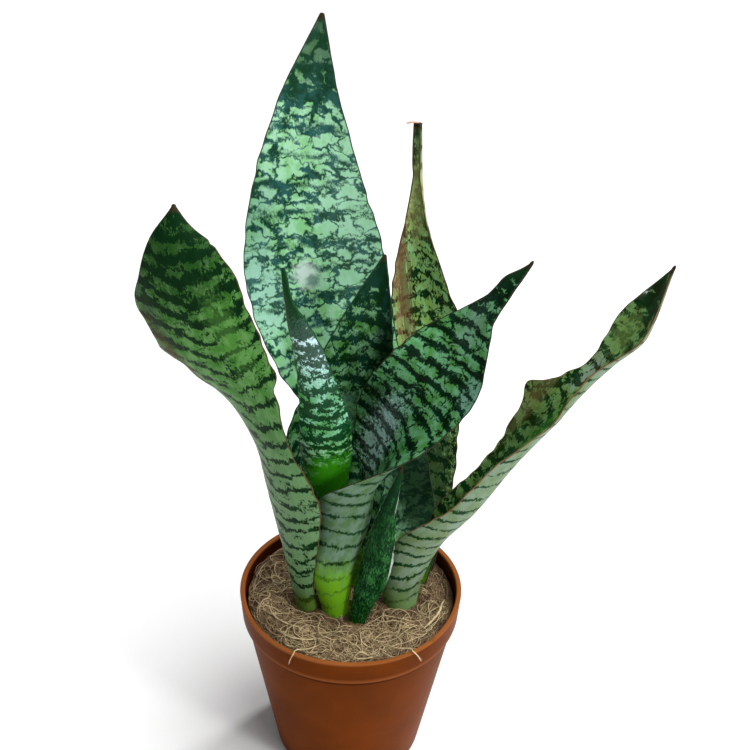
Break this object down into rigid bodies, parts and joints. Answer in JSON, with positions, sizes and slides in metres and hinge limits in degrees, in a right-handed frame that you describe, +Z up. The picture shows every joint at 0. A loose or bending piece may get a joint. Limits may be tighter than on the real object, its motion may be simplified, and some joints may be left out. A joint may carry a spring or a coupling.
{
  "type": "potted snake plant",
  "caption": "Potted snake plant: upright and leaning banded leaves growing from coir potting mix in a tapered round plastic nursery pot with a collared rim.",
  "frame": {"origin": "middle of the pot's flat base, on the surface it stands on", "axes": "+Z up out of the pot; +X towards the long leaning leaf; -Y towards the front of the plant"},
  "size_m": [0.227, 0.11, 0.3702],
  "materials": {
    "pot_plastic": "terracotta-coloured moulded plastic, satin",
    "coir_mix": "loose, dry coconut coir",
    "rhizome_skin": "dull orange-brown rootstock",
    "leaf_tall_skin": "waxy leaf skin with dark cross bands, semi-gloss",
    "leaf_left_skin": "waxy leaf skin with dark cross bands, semi-gloss",
    "leaf_young_skin": "waxy leaf skin with dark cross bands, semi-gloss",
    "leaf_centre_skin": "waxy leaf skin with dark cross bands, semi-gloss",
    "leaf_front_skin": "waxy leaf skin with dark cross bands, semi-gloss",
    "leaf_rear_skin": "waxy leaf skin with dark cross bands, semi-gloss",
    "leaf_right_skin": "waxy leaf skin with dark cross bands, semi-gloss",
    "leaf_small_skin": "waxy leaf skin with dark cross bands, semi-gloss",
    "dry_scale": "dry papery leaf scale",
    "coir_strand": "dry coir fibre",
    "pale_strand": "dry bleached coir fibre"
  },
  "bodies": {
    "root": {"pot": "pot_plastic", "potting_mix": "coir_mix", "rhizome": "rhizome_skin", "leaf_tall": "leaf_tall_skin", "leaf_left": "leaf_left_skin", "leaf_young": "leaf_young_skin", "leaf_centre": "leaf_centre_skin", "leaf_front": "leaf_front_skin", "leaf_rear": "leaf_rear_skin", "leaf_right": "leaf_right_skin", "leaf_small": "leaf_small_skin", "dry_scale": "dry_scale", "strand_front": "coir_strand", "strand_left": "coir_strand", "strand_curl": "coir_strand", "strand_right": "coir_strand", "strand_back": "coir_strand", "strand_over_rim_right": "pale_strand", "strand_over_rim_left": "pale_strand"}
  },
  "joints": []
}
